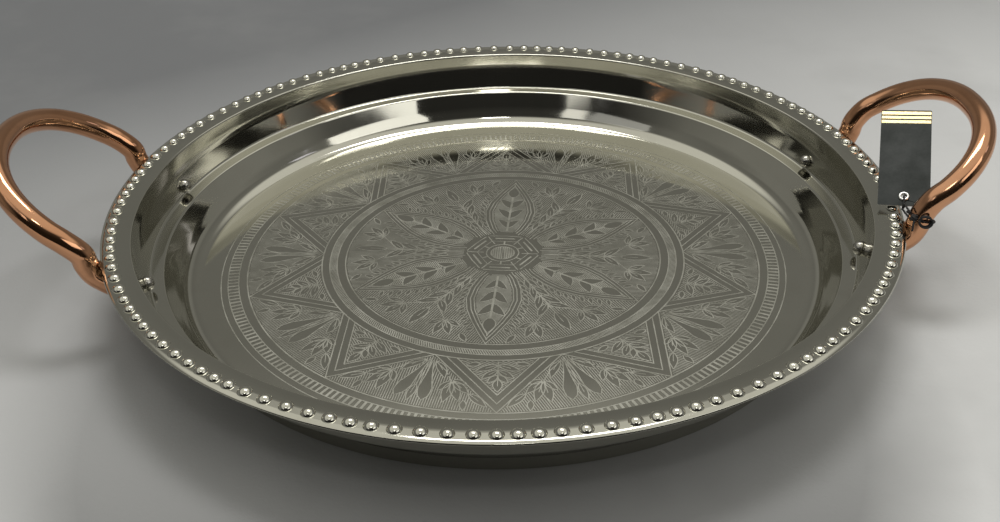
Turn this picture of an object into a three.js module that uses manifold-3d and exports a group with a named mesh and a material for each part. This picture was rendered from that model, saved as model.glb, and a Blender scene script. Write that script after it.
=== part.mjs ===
// Round serving tray with a beaded rim, two bent-tube handles and a hang tag tied to one of them.
// Millimetres, +Z up. The tray stands on z = 0 with its axis on the Z axis and its handles along X.
import * as THREE from 'three';
import { mergeVertices } from 'three/addons/utils/BufferGeometryUtils.js';
import Module from 'manifold-3d';

const wasm = await Module();
wasm.setup();

const GAP = 0.3;

// Tray sheet
const SHEET = 1.2;
const RIM_HEIGHT = 43;
const RIM_RADIUS = 200;
const FLOOR_HEIGHT = 3.6;
const LEDGE_HEIGHT = 21.2;
const FOOT_OUTER_RADIUS = 166.6;
const FOOT_INNER_RADIUS = 161.9;
const FOOT_EDGE = 0.4;
const TRAY_SEGMENTS = 60;

// Beads embossed on the rim flange
const BEAD_COUNT = 134;
const BEAD_CIRCLE_RADIUS = 195;
const BEAD_RADIUS = 3.5;
const BEAD_HEIGHT = 1.8;
const BEAD_WANDER = 0.006;

// Handles: each loop was bent by hand, so the two differ a little
const TUBE_RADIUS = 5.8;
const TUBE_WALL = 1.1;
const TUBE_SIDES = 10;
const TUBE_STEPS = 36;
const LOOP_SQUARENESS = 0.92;
const HANDLES = [
  {
    name: 'left_handle', side: -1, tilt: 37, halfWidth: 55.4,
    reach: 51.9, leg: 8.7, foot: [195.8, 45.2], shift: 0,
  },
  {
    name: 'right_handle', side: 1, tilt: 35.5, halfWidth: 52.6,
    reach: 46.9, leg: 8.4, foot: [195.4, 46.4], shift: 1.2,
  },
];
const LEG_HEIGHT = 25.6;
const LEG_START_RADIUS = 185.7;
const LEG_STRAIGHT = 5.8;
// The leg's centre line from under the flange, close round the rim edge, up to the loop:
// [distance out from the rim edge, inset along the rim, height]
const LEG_BEND = [
  [-4.6, 1, 28.4],
  [-0.2, 0.4, 31.8],
  [4, 0.1, 35.8],
  [6.5, 0, 41.2],
  [7.6, 0, 46.2],
];
const LOOP_ANGLES = [86, 76, 63, 50, 38, 25, 12, 0];

// Handle fixings
const SCREW_HEAD_RADIUS = 3.6;
const SCREW_HEAD_HEIGHT = 3.6;
const SCREW_HEAD_SEAT = 181.2;
const SCREW_SHANK_RADIUS = 2;
const SCREW_LENGTH = 12;
const INSERT_LENGTH = 3.6;
const WALL_HOLE_RADIUS = SCREW_SHANK_RADIUS + GAP;
const WALL_HOLE_START = 178;
const WALL_HOLE_DEPTH = 12;

// Hang tag
const CARD_LENGTH = 58.6;
const CARD_WIDTH = 24.4;
const CARD_THICKNESS = 0.6;
const CARD_CORNER = 0.8;
const CARD_BOTTOM = new THREE.Vector3(195, -42.5, 46.3);
const CARD_ALONG = new THREE.Vector3(0.247, 0.845, 0.474).normalize();
const CARD_ACROSS_HINT = new THREE.Vector3(0.941, -0.326, 0.09);
const EYELET_DISTANCE = 5.3;
const EYELET_HOLE_RADIUS = 1.9;
const EYELET_BORE_RADIUS = 1.3;
const EYELET_FLANGE_RADIUS = 2.6;
const EYELET_METAL = 0.45;

// Tag cord, tied round the front leg of the right handle
const CORD_DIAMETER = 1;
const LEG_POINT = new THREE.Vector3(200.5, -51.4, 44.8);
const LEG_DIRECTION = new THREE.Vector3(0.28, 0, 0.96).normalize();
const KNOT_ANGLE = -40;
const KNOT_DISTANCE = 8;
const KNOT_RADII = new THREE.Vector3(2.2, 2.1, 1.7);
const WRAP_DIP = 1.6;
const HANGER_BEND = 2.2;
const BOW_TURNS = 2;
const BOW_POINTS_PER_TURN = 12;
const BOW_MIDDLE = -41;
const BOW_HALF_SPREAD = 20.5;
const BOW_HALF_HEIGHT = 2.6;
const BOW_NEAR = 7.1;
const BOW_PITCH = 1.35;

// Materials
const finish = (color, roughness, metalness) => () =>
  new THREE.MeshStandardMaterial({ color, roughness, metalness });
const nickel = finish(0xb4afa4, 0.12, 1);
const copper = finish(0xb87248, 0.14, 1);
const steel = finish(0x9c9a94, 0.25, 1);
const brass = finish(0xb08d4c, 0.35, 1);
const card = finish(0x2b302e, 0.75, 0);
const whiteMetal = finish(0xd8d8d6, 0.25, 1);
const cordBlack = finish(0x0b0b0c, 0.9, 0);

const tray = new THREE.Group();
tray.name = 'round_handled_tray';

// Solid helpers
function toManifold(geometry) {
  const bare = geometry.clone();
  bare.deleteAttribute('normal');
  bare.deleteAttribute('uv');
  const merged = mergeVertices(bare, 1e-4);
  return new wasm.Manifold(new wasm.Mesh({
    numProp: 3,
    vertProperties: new Float32Array(merged.attributes.position.array),
    triVerts: new Uint32Array(merged.index.array),
  }));
}

function fromManifold(solid) {
  const mesh = solid.getMesh();
  const geometry = new THREE.BufferGeometry();
  geometry.setAttribute('position', new THREE.BufferAttribute(new Float32Array(mesh.vertProperties), 3));
  geometry.setIndex(new THREE.BufferAttribute(new Uint32Array(mesh.triVerts), 1));
  geometry.computeVertexNormals();
  return geometry;
}

function addPart(name, geometry, material) {
  const mesh = new THREE.Mesh(geometry, material());
  mesh.name = name;
  tray.add(mesh);
  return mesh;
}

// Turned profile about +Z from [radius, height] pairs that start and end on the axis or close on themselves
function lathe(points, segments) {
  const geometry = new THREE.LatheGeometry(points.map(([r, z]) => new THREE.Vector2(r, z)), segments);
  geometry.rotateX(Math.PI / 2);
  return geometry;
}

// Frame matrix from an origin and three axes
function place(origin, xAxis, yAxis, zAxis) {
  return new THREE.Matrix4().makeBasis(xAxis, yAxis, zAxis).setPosition(origin);
}

// Round section of the given radius, pushed along a smooth curve
function tubeAlong(curve, radius, sides, steps, holeRadius = 0) {
  const section = new THREE.Shape();
  const ring = (r, i) => [r * Math.cos((2 * Math.PI * i) / sides), r * Math.sin((2 * Math.PI * i) / sides)];
  section.moveTo(...ring(radius, 0));
  for (let i = 1; i < sides; i += 1) section.lineTo(...ring(radius, i));
  section.closePath();
  if (holeRadius > 0) {
    const hole = new THREE.Path();
    hole.moveTo(...ring(holeRadius, 0));
    for (let i = 1; i < sides; i += 1) hole.lineTo(...ring(holeRadius, -i));
    hole.closePath();
    section.holes.push(hole);
  }
  return new THREE.ExtrudeGeometry(section, { steps, extrudePath: curve, bevelEnabled: false });
}

// Tray: the upper surface of the spun sheet, from the axis to the rim edge
const UPPER_PROFILE = [
  [0, FLOOR_HEIGHT],
  [158.2, FLOOR_HEIGHT],
  [162, 4.4],
  [164.4, 6],
  [166, 8],
  [168.2, 11.5],
  [172.8, 20.1],
  [173.8, LEDGE_HEIGHT],
  [179.1, LEDGE_HEIGHT],
  [180.6, 22.2],
  [183.2, 30.8],
  [184.4, 36.4],
  [185.2, 41.6],
  [186.1, RIM_HEIGHT],
  [198.8, RIM_HEIGHT],
  [RIM_RADIUS, RIM_HEIGHT - 1],
];
const WALL_POINTS = [8, 9, 10, 11, 12];
// The same sheet's lower surface, from the rim edge back to the axis
const LOWER_PROFILE = [
  [RIM_RADIUS - 0.3, RIM_HEIGHT - 2],
  [RIM_RADIUS - 1.6, RIM_HEIGHT - SHEET],
  [187, RIM_HEIGHT - SHEET],
  [186.3, 41],
  [185.6, 36.2],
  [184.4, 30.5],
  [181.6, 21.3],
  [179.8, LEDGE_HEIGHT - SHEET],
  [174.5, LEDGE_HEIGHT - SHEET],
  [173.9, 19.6],
  [169.5, 11.4],
  [167, 7],
  [FOOT_OUTER_RADIUS, FOOT_EDGE],
  [FOOT_OUTER_RADIUS - FOOT_EDGE, 0],
  [FOOT_INNER_RADIUS + FOOT_EDGE, 0],
  [FOOT_INNER_RADIUS, FOOT_EDGE],
  [FOOT_INNER_RADIUS - 0.3, FLOOR_HEIGHT - SHEET],
  [0, FLOOR_HEIGHT - SHEET],
];

function beadAngle(i) {
  const even = (2 * Math.PI * i) / BEAD_COUNT;
  return even + BEAD_WANDER * (Math.sin(7 * even + 1) + Math.sin(19 * even + 2));
}

// One bead: a faceted dome whose foot sinks half way into the sheet
function beadSolid(angle) {
  const dome = lathe([
    [0, -SHEET / 2],
    [BEAD_RADIUS, -SHEET / 2],
    [BEAD_RADIUS * 0.62, BEAD_HEIGHT],
    [0, BEAD_HEIGHT],
  ], 6);
  dome.rotateZ(angle);
  dome.translate(BEAD_CIRCLE_RADIUS * Math.cos(angle), BEAD_CIRCLE_RADIUS * Math.sin(angle), RIM_HEIGHT);
  return toManifold(dome);
}

// Where a handle's rear (+1) or front (-1) leg stands across the tray
function legAcrossTray({ halfWidth, shift }, end) {
  return end * halfWidth + shift;
}

// The same leg's distance along X where it passes the rim edge
function rimEdgeAt(handle, end) {
  return Math.sqrt(RIM_RADIUS ** 2 - legAcrossTray(handle, end) ** 2);
}

// The radial direction of a leg, on the +X side or on the handle's own side
function legRadial(handle, end, side = handle.side) {
  return new THREE.Vector3(side * rimEdgeAt(handle, end), legAcrossTray(handle, end), 0).normalize();
}

// Matrix that lays a part turned about +Z along a leg's fixing, its origin at the given radius
function fixingMatrix({ handle, end }, radius) {
  const out = legRadial(handle, end);
  const up = new THREE.Vector3(0, 0, 1);
  const across = new THREE.Vector3().crossVectors(up, out);
  return place(out.clone().multiplyScalar(radius).setZ(LEG_HEIGHT), across, up, out);
}

const FIXINGS = HANDLES.flatMap((handle) => [
  { handle, end: 1, name: handle.name.replace('handle', 'rear') },
  { handle, end: -1, name: handle.name.replace('handle', 'front') },
]);

const trayBlank = toManifold(lathe([...UPPER_PROFILE, ...LOWER_PROFILE].reverse(), TRAY_SEGMENTS));
const HOLE_PROFILE = [
  [0, 0],
  [WALL_HOLE_RADIUS, 0],
  [WALL_HOLE_RADIUS, WALL_HOLE_DEPTH],
  [0, WALL_HOLE_DEPTH],
];
const holeCutters = FIXINGS.map((fixing) => {
  const cutter = lathe(HOLE_PROFILE, 12);
  return toManifold(cutter.applyMatrix4(fixingMatrix(fixing, WALL_HOLE_START)));
});
const beads = Array.from({ length: BEAD_COUNT }, (_, i) => beadSolid(beadAngle(i)));
const trayBody = wasm.Manifold.union([trayBlank, ...beads]).subtract(wasm.Manifold.union(holeCutters));
addPart('tray_body', fromManifold(trayBody), nickel);

// Half of a handle's centre line, from the wall to the middle of the grip, for the +X side
function halfHandle(handle, end) {
  const { tilt, halfWidth, reach, leg, foot, shift } = handle;
  const out = legRadial(handle, end, 1);
  const start = out.clone().multiplyScalar(LEG_START_RADIUS).setZ(LEG_HEIGHT);
  const points = [start, start.clone().addScaledVector(out, LEG_STRAIGHT)];
  LEG_BEND.forEach(([past, inset, height]) => {
    const x = rimEdgeAt(handle, end) + past;
    const y = legAcrossTray(handle, end) - end * inset;
    points.push(new THREE.Vector3(x, y, height));
  });
  const slope = THREE.MathUtils.degToRad(tilt);
  LOOP_ANGLES.forEach((degrees) => {
    const theta = THREE.MathUtils.degToRad(degrees);
    const outward = leg + reach * Math.cos(theta) ** LOOP_SQUARENESS;
    const sideways = end * halfWidth * Math.sin(theta) ** LOOP_SQUARENESS;
    points.push(new THREE.Vector3(
      foot[0] + outward * Math.cos(slope),
      sideways + shift,
      foot[1] + outward * Math.sin(slope),
    ));
  });
  return points;
}

HANDLES.forEach((handle) => {
  const rear = halfHandle(handle, 1);
  const front = halfHandle(handle, -1).slice(0, -1).reverse();
  const points = [...rear, ...front].map((p) => new THREE.Vector3(handle.side * p.x, p.y, p.z));
  const centreLine = new THREE.CatmullRomCurve3(points, false, 'centripetal');
  const tube = tubeAlong(centreLine, TUBE_RADIUS, TUBE_SIDES, TUBE_STEPS, TUBE_RADIUS - TUBE_WALL);
  addPart(handle.name, tube, copper);
});

// Handle fixings: a tapped plug in each tube end and a round-head screw through the tray wall
const wallInside = WALL_POINTS.map((i) => [UPPER_PROFILE[i][0] - GAP, UPPER_PROFILE[i][1]]).reverse();
const wallCutter = toManifold(lathe([
  ...wallInside,
  [RIM_RADIUS, wallInside[wallInside.length - 1][1]],
  [RIM_RADIUS, wallInside[0][1]],
  wallInside[0],
], TRAY_SEGMENTS));

FIXINGS.forEach((fixing) => {
  const plugRadius = TUBE_RADIUS - TUBE_WALL - 2.5 * GAP;
  const boreRadius = SCREW_SHANK_RADIUS + GAP;
  const plug = lathe([
    [boreRadius, 0],
    [plugRadius, 0],
    [plugRadius, INSERT_LENGTH],
    [boreRadius, INSERT_LENGTH],
    [boreRadius, 0],
  ], 12);
  plug.applyMatrix4(fixingMatrix(fixing, LEG_START_RADIUS + 0.4));
  addPart(`handle_plug_${fixing.name}`, plug, brass);

  const head = toManifold(lathe([
    [0, -SCREW_HEAD_HEIGHT],
    [SCREW_HEAD_RADIUS * 0.45, -SCREW_HEAD_HEIGHT * 0.9],
    [SCREW_HEAD_RADIUS * 0.82, -SCREW_HEAD_HEIGHT * 0.5],
    [SCREW_HEAD_RADIUS, 0],
    [SCREW_HEAD_RADIUS, 3],
    [0, 3],
  ], 12).applyMatrix4(fixingMatrix(fixing, SCREW_HEAD_SEAT)));
  const shank = toManifold(lathe([
    [0, 0],
    [SCREW_SHANK_RADIUS, 0],
    [SCREW_SHANK_RADIUS, SCREW_LENGTH],
    [0, SCREW_LENGTH],
  ], 12).applyMatrix4(fixingMatrix(fixing, SCREW_HEAD_SEAT - 1)));
  addPart(`handle_screw_${fixing.name}`, fromManifold(head.subtract(wallCutter).add(shank)), steel);
});

// Hang tag: a card with an eyelet, lying over the rim and against the handle
const cardAcross = CARD_ACROSS_HINT.clone()
  .addScaledVector(CARD_ALONG, -CARD_ACROSS_HINT.dot(CARD_ALONG))
  .normalize();
const cardNormal = new THREE.Vector3().crossVectors(cardAcross, CARD_ALONG);

// A point on the card: across from its middle line, along from its tied edge, and proud of its middle plane
function cardPoint(across, along, proud) {
  return CARD_BOTTOM.clone()
    .addScaledVector(cardAcross, across)
    .addScaledVector(CARD_ALONG, along)
    .addScaledVector(cardNormal, proud);
}

function tagCard() {
  const outline = new THREE.Shape();
  const half = CARD_WIDTH / 2;
  outline.moveTo(-half + CARD_CORNER, 0);
  outline.lineTo(half - CARD_CORNER, 0);
  outline.lineTo(half, CARD_CORNER);
  outline.lineTo(half, CARD_LENGTH - CARD_CORNER);
  outline.lineTo(half - CARD_CORNER, CARD_LENGTH);
  outline.lineTo(-half + CARD_CORNER, CARD_LENGTH);
  outline.lineTo(-half, CARD_LENGTH - CARD_CORNER);
  outline.lineTo(-half, CARD_CORNER);
  outline.closePath();
  const hole = new THREE.Path();
  hole.absarc(0, EYELET_DISTANCE, EYELET_HOLE_RADIUS, 0, 2 * Math.PI, true);
  outline.holes.push(hole);
  const geometry = new THREE.ExtrudeGeometry(outline, {
    depth: CARD_THICKNESS,
    bevelEnabled: false,
    curveSegments: 8,
  });
  geometry.translate(0, 0, -CARD_THICKNESS / 2);
  return geometry.applyMatrix4(place(CARD_BOTTOM, cardAcross, CARD_ALONG, cardNormal));
}
addPart('tag_card', tagCard(), card);

const eyeletFace = CARD_THICKNESS / 2 + 0.8 * GAP;
const eyeletBarrel = EYELET_HOLE_RADIUS - GAP;
const eyelet = lathe([
  [EYELET_BORE_RADIUS, -eyeletFace - EYELET_METAL],
  [EYELET_FLANGE_RADIUS, -eyeletFace - EYELET_METAL],
  [EYELET_FLANGE_RADIUS, -eyeletFace],
  [eyeletBarrel, -eyeletFace],
  [eyeletBarrel, eyeletFace],
  [EYELET_FLANGE_RADIUS, eyeletFace],
  [EYELET_FLANGE_RADIUS, eyeletFace + EYELET_METAL],
  [EYELET_BORE_RADIUS, eyeletFace + EYELET_METAL],
  [EYELET_BORE_RADIUS, -eyeletFace - EYELET_METAL],
], 12);
eyelet.applyMatrix4(place(cardPoint(0, EYELET_DISTANCE, 0), cardAcross, CARD_ALONG, cardNormal));
addPart('tag_eyelet', eyelet, whiteMetal);

// Tag cord: a wrap round the handle leg, a strand up through the eyelet and back, a bow and the knot
const legAcross = new THREE.Vector3(0, 1, 0);
const legUp = new THREE.Vector3().crossVectors(LEG_DIRECTION, legAcross).normalize();

// A point round the leg: degrees from the knot towards the card, distance from the leg's axis,
// and distance along the leg
function legPoint(degrees, distance, along) {
  const a = THREE.MathUtils.degToRad(degrees + KNOT_ANGLE);
  return LEG_POINT.clone()
    .addScaledVector(LEG_DIRECTION, along)
    .addScaledVector(legUp, distance * Math.cos(a))
    .addScaledVector(legAcross, distance * Math.sin(a));
}

function smooth(points) {
  return new THREE.CatmullRomCurve3(points, false, 'centripetal');
}

const wrapDistance = TUBE_RADIUS + 1.5 * GAP + CORD_DIAMETER / 2;
const wrapPoints = [];
for (let degrees = 22; degrees <= 338; degrees += 22.57) {
  const dip = -WRAP_DIP * Math.sin(THREE.MathUtils.degToRad(degrees + KNOT_ANGLE));
  wrapPoints.push(legPoint(degrees, wrapDistance, dip + (180 - degrees) / 180));
}
addPart('tag_cord_wrap', tubeAlong(smooth(wrapPoints), CORD_DIAMETER / 2, 8, 20), cordBlack);

// The strand leaves the knot over the card's face, turns through the eyelet and comes back underneath
const knotCentre = legPoint(0, KNOT_DISTANCE, WRAP_DIP * Math.sin(THREE.MathUtils.degToRad(-KNOT_ANGLE)));
const turnCentre = EYELET_DISTANCE - HANGER_BEND;
const hangerPoints = [
  legPoint(19, 8.4, 2.5),
  legPoint(40, 8.7, 3),
  legPoint(62, 9.4, 3),
  cardPoint(0, -2.6, 2.5),
];
for (let degrees = 90; degrees >= -90; degrees -= 30) {
  const turn = THREE.MathUtils.degToRad(degrees);
  hangerPoints.push(cardPoint(0, turnCentre + HANGER_BEND * Math.cos(turn), HANGER_BEND * Math.sin(turn)));
}
hangerPoints.push(
  cardPoint(-0.3, -0.4, -1.8),
  legPoint(66, 9.2, 0.2),
  legPoint(41, 8.4, 0.3),
  legPoint(19, 8.3, 0),
);
addPart('tag_cord_hanger', tubeAlong(smooth(hangerPoints), CORD_DIAMETER / 2, 8, 26), cordBlack);

const bowPoints = [];
for (let i = 0; i <= BOW_TURNS * BOW_POINTS_PER_TURN; i += 1) {
  const turns = i / BOW_POINTS_PER_TURN;
  const phase = 2 * Math.PI * turns;
  bowPoints.push(legPoint(
    BOW_MIDDLE + BOW_HALF_SPREAD * Math.cos(phase),
    BOW_NEAR + BOW_PITCH * turns,
    WRAP_DIP + BOW_HALF_HEIGHT * Math.sin(phase),
  ));
}
addPart('tag_cord_bow', tubeAlong(smooth(bowPoints), CORD_DIAMETER / 2, 8, 30), cordBlack);

const knotBall = new THREE.SphereGeometry(1, 12, 8);
knotBall.scale(KNOT_RADII.x, KNOT_RADII.y, KNOT_RADII.z);
knotBall.applyMatrix4(place(knotCentre, LEG_DIRECTION, legAcross, legUp));
const tailPoints = [
  knotCentre.clone(),
  knotCentre.clone().add(new THREE.Vector3(-0.8, -2.4, -1.2)),
  knotCentre.clone().add(new THREE.Vector3(-1.4, -3.8, -2.8)),
  knotCentre.clone().add(new THREE.Vector3(-1.8, -4.8, -4.6)),
];
const tail = toManifold(tubeAlong(smooth(tailPoints), CORD_DIAMETER / 2, 8, 5));
addPart('tag_knot', fromManifold(toManifold(knotBall).add(tail)), cordBlack);

export default tray;
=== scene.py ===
"""Round nickel-finish serving tray with a beaded rim, an etched floor medallion, two copper tube handles
and a hang tag, shown on a pale cloth. Everything is built in the CAD frame, in metres."""

import math

import bpy
from mathutils import Matrix, Vector


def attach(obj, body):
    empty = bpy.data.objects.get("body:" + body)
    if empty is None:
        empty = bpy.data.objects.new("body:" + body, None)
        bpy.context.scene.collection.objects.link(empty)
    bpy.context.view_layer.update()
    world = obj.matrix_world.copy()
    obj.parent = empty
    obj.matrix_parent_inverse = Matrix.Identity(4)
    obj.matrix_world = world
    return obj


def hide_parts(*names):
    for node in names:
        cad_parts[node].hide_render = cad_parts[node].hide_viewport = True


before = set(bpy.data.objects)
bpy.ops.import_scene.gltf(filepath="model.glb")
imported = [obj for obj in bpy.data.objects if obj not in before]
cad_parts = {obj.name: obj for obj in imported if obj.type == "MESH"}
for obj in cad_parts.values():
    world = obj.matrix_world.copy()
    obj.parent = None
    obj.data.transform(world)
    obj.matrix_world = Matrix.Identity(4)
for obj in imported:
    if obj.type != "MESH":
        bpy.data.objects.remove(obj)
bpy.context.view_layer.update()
MM = 0.001

# ---------------------------------------------------------------- numbers shared with the CAD part
RIM_HEIGHT = 43 * MM
FLOOR_HEIGHT = 3.6 * MM
BEAD_COUNT = 134
BEAD_CIRCLE_RADIUS = 195 * MM
BEAD_WANDER = 0.006
GAP = 0.3 * MM

TUBE_RADIUS = 5.8 * MM
TUBE_WALL = 1.1 * MM
SCREW_HEAD_SEAT = 181.2 * MM
WALL_CLEARANCE = 0.08 * MM

# the handles' path is worked out in millimetres and degrees
RIM_RADIUS = 200
LOOP_SQUARENESS = 0.92
HANDLES = {
    "left_handle": dict(
        side=-1, tilt=37, half_width=55.4, reach=51.9, leg=8.7, foot=(195.8, 45.2), shift=0,
    ),
    "right_handle": dict(
        side=1, tilt=35.5, half_width=52.6, reach=46.9, leg=8.4, foot=(195.4, 46.4), shift=1.2,
    ),
}
LEG_HEIGHT = 25.6
LEG_START_RADIUS = 185.7
LEG_STRAIGHT = 5.8
LEG_BEND = [(-4.6, 1, 28.4), (-0.2, 0.4, 31.8), (4, 0.1, 35.8), (6.5, 0, 41.2), (7.6, 0, 46.2)]
LOOP_ANGLES = [86, 76, 63, 50, 38, 25, 12, 0]

CARD_LENGTH = 58.6 * MM
CARD_WIDTH = 24.4 * MM
CARD_THICKNESS = 0.6 * MM
CARD_BOTTOM = Vector((195, -42.5, 46.3)) * MM
CARD_ALONG = Vector((0.247, 0.845, 0.474)).normalized()
CARD_ACROSS_HINT = Vector((0.941, -0.326, 0.09))
EYELET_DISTANCE = 5.3 * MM
EYELET_HOLE_RADIUS = 1.9 * MM

CORD_DIAMETER = 1 * MM
LEG_POINT = Vector((200.5, -51.4, 44.8)) * MM
LEG_DIRECTION = Vector((0.28, 0, 0.96)).normalized()
KNOT_ANGLE = -40
KNOT_DISTANCE = 8 * MM
WRAP_DIP = 1.6 * MM
WRAP_START = 22
WRAP_END = 338
WRAP_STEP = 22.57
HANGER_BEND = 2.2 * MM


# ---------------------------------------------------------------- camera
def make_camera():
    eye = Vector((-21.76, -526.8, 324.56)) * MM
    heading = math.radians(2.2)
    pitch = math.radians(31.734)
    roll = math.radians(1.363)
    ahead = Vector((
        math.sin(heading) * math.cos(pitch),
        math.cos(heading) * math.cos(pitch),
        -math.sin(pitch),
    ))
    level_right = Vector((math.cos(heading), -math.sin(heading), 0))
    level_up = level_right.cross(ahead)
    right = level_right * math.cos(roll) - level_up * math.sin(roll)
    up = level_right * math.sin(roll) + level_up * math.cos(roll)
    data = bpy.data.cameras.new("camera")
    data.sensor_width = 36
    data.lens = 41.58
    data.clip_start = 0.01
    camera = bpy.data.objects.new("camera", data)
    bpy.context.scene.collection.objects.link(camera)
    camera.matrix_world = Matrix((
        (right.x, up.x, -ahead.x, eye.x),
        (right.y, up.y, -ahead.y, eye.y),
        (right.z, up.z, -ahead.z, eye.z),
        (0, 0, 0, 1),
    ))
    bpy.context.scene.camera = camera


make_camera()


# ---------------------------------------------------------------- geometry helpers
def link(obj):
    bpy.context.scene.collection.objects.link(obj)
    return obj


def mesh_object(name, verts, faces, mats, face_mats, smooth):
    mesh = bpy.data.meshes.new(name)
    mesh.from_pydata([tuple(v) for v in verts], [], faces)
    for mat in mats:
        mesh.materials.append(mat)
    mesh.polygons.foreach_set("material_index", face_mats)
    mesh.polygons.foreach_set("use_smooth", [smooth] * len(mesh.polygons))
    mesh.validate()
    mesh.update()
    return link(bpy.data.objects.new(name, mesh))


class Shape:
    """Vertices and faces gathered for one mesh, with a material number for each face."""

    def __init__(self):
        self.verts = []
        self.faces = []
        self.kinds = []

    def add(self, verts, faces, kind=0):
        base = len(self.verts)
        self.verts += verts
        self.faces += [tuple(base + i for i in face) for face in faces]
        self.kinds += [kind] * len(faces)

    def build(self, name, mats, smooth=True):
        return mesh_object(name, self.verts, self.faces, mats, self.kinds, smooth)


def catmull(points, per_segment):
    """A smooth centripetal Catmull-Rom curve through the points, as a list of points."""
    pts = [Vector(p) for p in points]
    pts = [pts[0] * 2 - pts[1]] + pts + [pts[-1] * 2 - pts[-2]]
    out = []
    for i in range(1, len(pts) - 2):
        p0, p1, p2, p3 = pts[i - 1:i + 3]
        t0 = max((p1 - p0).length ** 0.5, 1e-6)
        t1 = max((p2 - p1).length ** 0.5, 1e-6)
        t2 = max((p3 - p2).length ** 0.5, 1e-6)
        m1 = ((p1 - p0) / t0 - (p2 - p0) / (t0 + t1) + (p2 - p1) / t1) * t1
        m2 = ((p2 - p1) / t1 - (p3 - p1) / (t1 + t2) + (p3 - p2) / t2) * t1
        for k in range(per_segment):
            t = k / per_segment
            out.append(
                p1 * (2 * t ** 3 - 3 * t ** 2 + 1) + m1 * (t ** 3 - 2 * t ** 2 + t)
                + p2 * (3 * t ** 2 - 2 * t ** 3) + m2 * (t ** 3 - t ** 2)
            )
    out.append(pts[-2])
    return out


def frames_along(points):
    """A steady pair of cross directions at each point of a path."""
    out = []
    normal = None
    for i, p in enumerate(points):
        tangent = (points[min(i + 1, len(points) - 1)] - points[max(i - 1, 0)]).normalized()
        if normal is None:
            normal = tangent.orthogonal().normalized()
        normal = (normal - tangent * normal.dot(tangent)).normalized()
        out.append((p, normal, tangent.cross(normal)))
    return out


def add_tube(shape, points, radius, sides, inner=0.0):
    """A round tube on a path: hollow with open ends, or solid with flat capped ends."""
    rings = frames_along(points)
    verts = []
    faces = []
    loops = []

    def ring(p, a, b, r):
        start = len(verts)
        for k in range(sides):
            angle = 2 * math.pi * k / sides
            verts.append(p + a * (r * math.cos(angle)) + b * (r * math.sin(angle)))
        loops.append(start)

    for p, a, b in rings:
        ring(p, a, b, radius)
    if inner:
        for p, a, b in reversed(rings):
            ring(p, a, b, inner)
        loops.append(loops[0])
    for s, e in zip(loops[:-1], loops[1:]):
        for k in range(sides):
            n = (k + 1) % sides
            faces.append((s + k, s + n, e + n, e + k))
    if not inner:
        faces.append(tuple(loops[0] + k for k in reversed(range(sides))))
        faces.append(tuple(loops[-1] + k for k in range(sides)))
    shape.add(verts, faces)


def rounded(corners, step=math.radians(9), ease=0.25):
    """A profile from (radius, height, fillet) corners in millimetres, each fillet drawn as an arc.

    A point a little way along each straight, before and after the arc, keeps the flats shaded flat.
    """
    points = [Vector(corner[:2]) for corner in corners]
    turns = [0.0]
    for before, here, after in zip(points[:-2], points[1:-1], points[2:]):
        turns.append(math.pi - (before - here).angle(after - here))
    turns.append(0.0)
    reaches = [corner[2] * math.tan(turn / 2) for corner, turn in zip(corners, turns)]
    out = [points[0]]
    for i in range(1, len(points) - 1):
        here, turn, radius, reach = points[i], turns[i], corners[i][2], reaches[i]
        a = (points[i - 1] - here).normalized()
        b = (points[i + 1] - here).normalized()
        left = (points[i - 1] - here).length - reach - reaches[i - 1]
        right = (points[i + 1] - here).length - reach - reaches[i + 1]
        centre = here + (a + b).normalized() * (radius / math.cos(turn / 2))
        start = here + a * reach - centre
        end = here + b * reach - centre
        out.append(here + a * (reach + min(ease, left / 3)))
        count = max(2, math.ceil(turn / step))
        for k in range(count + 1):
            t = k / count
            across = (start * math.sin((1 - t) * turn) + end * math.sin(t * turn)) / math.sin(turn)
            out.append(centre + across)
        out.append(here + b * (reach + min(ease, right / 3)))
    out.append(points[-1])
    return [(p.x * MM, p.y * MM) for p in out]


def add_lathe(shape, profile, segments, matrix=None):
    """A turned surface about +Z; profile points on the axis become a single vertex."""
    verts = []
    rows = []
    for r, z in profile:
        if r < 1e-7:
            rows.append([len(verts)] * segments)
            verts.append(Vector((0, 0, z)))
            continue
        rows.append(list(range(len(verts), len(verts) + segments)))
        for k in range(segments):
            angle = 2 * math.pi * k / segments
            verts.append(Vector((r * math.cos(angle), r * math.sin(angle), z)))
    faces = []
    for low, high in zip(rows[:-1], rows[1:]):
        for k in range(segments):
            n = (k + 1) % segments
            quad = (low[k], low[n], high[n], high[k])
            face = tuple(dict.fromkeys(quad))
            if len(face) > 2:
                faces.append(face)
    if matrix:
        verts = [matrix @ v for v in verts]
    shape.add(verts, faces)


def basis(origin, x_axis, y_axis, z_axis):
    return Matrix((
        (x_axis.x, y_axis.x, z_axis.x, origin.x),
        (x_axis.y, y_axis.y, z_axis.y, origin.y),
        (x_axis.z, y_axis.z, z_axis.z, origin.z),
        (0, 0, 0, 1),
    ))


# ---------------------------------------------------------------- places on the tag and round the leg
LEG_ACROSS = Vector((0, 1, 0))
LEG_UP = LEG_DIRECTION.cross(LEG_ACROSS).normalized()
CARD_ACROSS = (CARD_ACROSS_HINT - CARD_ALONG * CARD_ACROSS_HINT.dot(CARD_ALONG)).normalized()
CARD_NORMAL = CARD_ACROSS.cross(CARD_ALONG)


def leg_point(degrees, distance, along):
    a = math.radians(degrees + KNOT_ANGLE)
    return (LEG_POINT + LEG_DIRECTION * along
            + LEG_UP * (distance * math.cos(a)) + LEG_ACROSS * (distance * math.sin(a)))


def card_point(across, along, proud):
    return CARD_BOTTOM + CARD_ACROSS * across + CARD_ALONG * along + CARD_NORMAL * proud


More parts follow.
